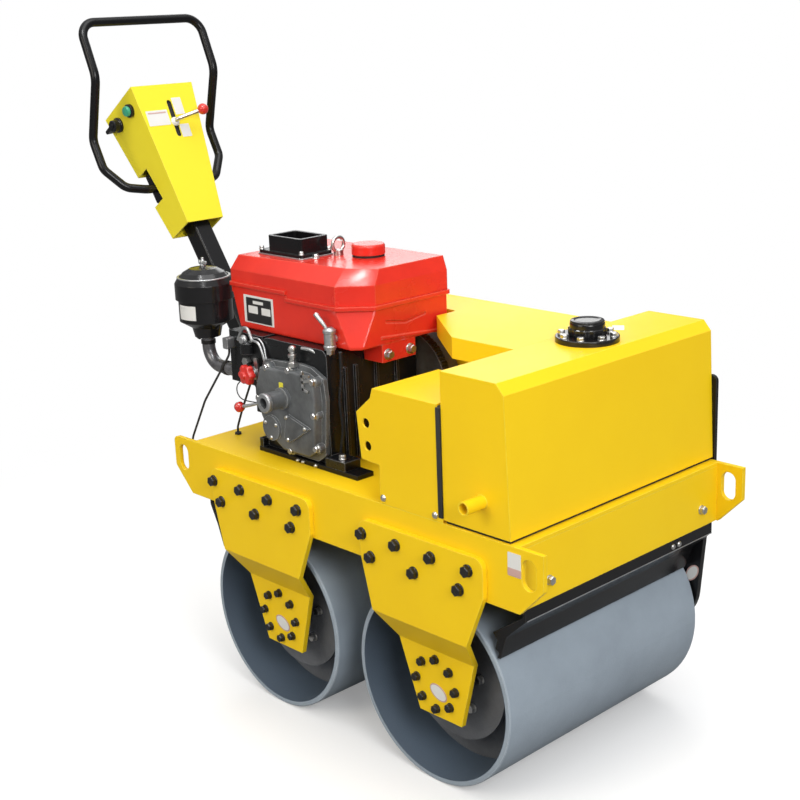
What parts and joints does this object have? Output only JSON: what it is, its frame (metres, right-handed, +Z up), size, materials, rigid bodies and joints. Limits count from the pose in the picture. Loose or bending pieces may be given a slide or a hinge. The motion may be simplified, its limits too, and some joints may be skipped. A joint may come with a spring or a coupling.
{
  "type": "walk-behind double drum road roller",
  "caption": "Pedestrian road roller with smooth steel drums under a flat frame, an engine, a water tank with a spigot, and a tilting handle with a control console.",
  "frame": {"origin": "on the floor, midway between the two drum axles and in the middle of the drums' width", "axes": "+X forward, +Y the machine's left side with the drum drive, +Z up"},
  "size_m": [1.6673, 0.739, 1.535],
  "materials": {
    "yellow_paint": "gloss enamel",
    "black_paint": "satin enamel",
    "drum_paint": "satin grey paint",
    "red_paint": "gloss enamel",
    "engine_black": "satin engine paint",
    "cast_grey": "as cast, painted dark grey",
    "bare_steel": "machined",
    "zinc": "cast, dull",
    "black_plastic": "moulded",
    "red_plastic": "moulded",
    "black_rubber": "plain"
  },
  "bodies": {
    "frame": {"air_filter_bowl": "black_paint", "air_filter_dome": "black_paint", "belt_cover": "yellow_paint", "cable_clamp": "zinc", "crankcase": "engine_black", "cylinder_head": "engine_black", "deck_plate": "yellow_paint", "drive_plate": "black_paint", "engine_rails": "black_paint", "filler_cap": "black_plastic", "filler_flange": "black_plastic", "front_beam": "yellow_paint", "fuel_cap": "red_paint", "fuel_cock": "zinc", "fuel_tank": "red_paint", "gear_case": "black_paint", "gear_cover": "cast_grey", "guard_panel": "black_paint", "handle_bracket": "black_paint", "hanger_near_front": "yellow_paint", "hanger_near_rear": "yellow_paint", "hopper": "red_paint", "intake_elbow": "zinc", "lifting_eye": "bare_steel", "muffler": "engine_black", "pivot_pin": "bare_steel", "rear_beam": "yellow_paint", "scraper_front": "black_paint", "scraper_rear": "black_paint", "side_guard": "yellow_paint", "side_plate_far": "yellow_paint", "side_plate_near": "yellow_paint", "stop_cable": "black_rubber", "stub_axle_far_front": "cast_grey", "stub_axle_far_rear": "cast_grey", "stub_axle_near_front": "cast_grey", "stub_axle_near_rear": "cast_grey", "tank_strips": "black_rubber", "throttle_cable": "black_rubber", "water_funnel": "black_paint", "water_tank": "yellow_paint"},
    "drum_front": {"drum_front": "drum_paint", "drum_hub_front": "cast_grey"},
    "drum_rear": {"drum_rear": "drum_paint", "drum_hub_rear": "cast_grey"},
    "handle": {"handle_column": "black_paint", "console": "yellow_paint", "handle_loop": "black_paint", "travel_lever": "bare_steel", "lever_knob": "red_plastic"},
    "flywheel": {"flywheel": "cast_grey"}
  },
  "joints": [
    {"name": "drum_front_roll", "type": "hinge", "parent": "frame", "child": "drum_front", "pos_m": [0.249, 0, 0.2125], "axis": [0, 1, 0], "continuous": true},
    {"name": "drum_rear_roll", "type": "hinge", "parent": "frame", "child": "drum_rear", "pos_m": [-0.249, 0, 0.2125], "axis": [0, 1, 0], "continuous": true},
    {"name": "handle_tilt", "type": "hinge", "parent": "frame", "child": "handle", "pos_m": [-0.54, -0.0135, 0.5417], "axis": [0, 1, 0], "range_deg": [-32, 30]},
    {"name": "flywheel_spin", "type": "hinge", "parent": "frame", "child": "flywheel", "pos_m": [-0.128, 0, 0.72], "axis": [0, 1, 0], "continuous": true}
  ]
}
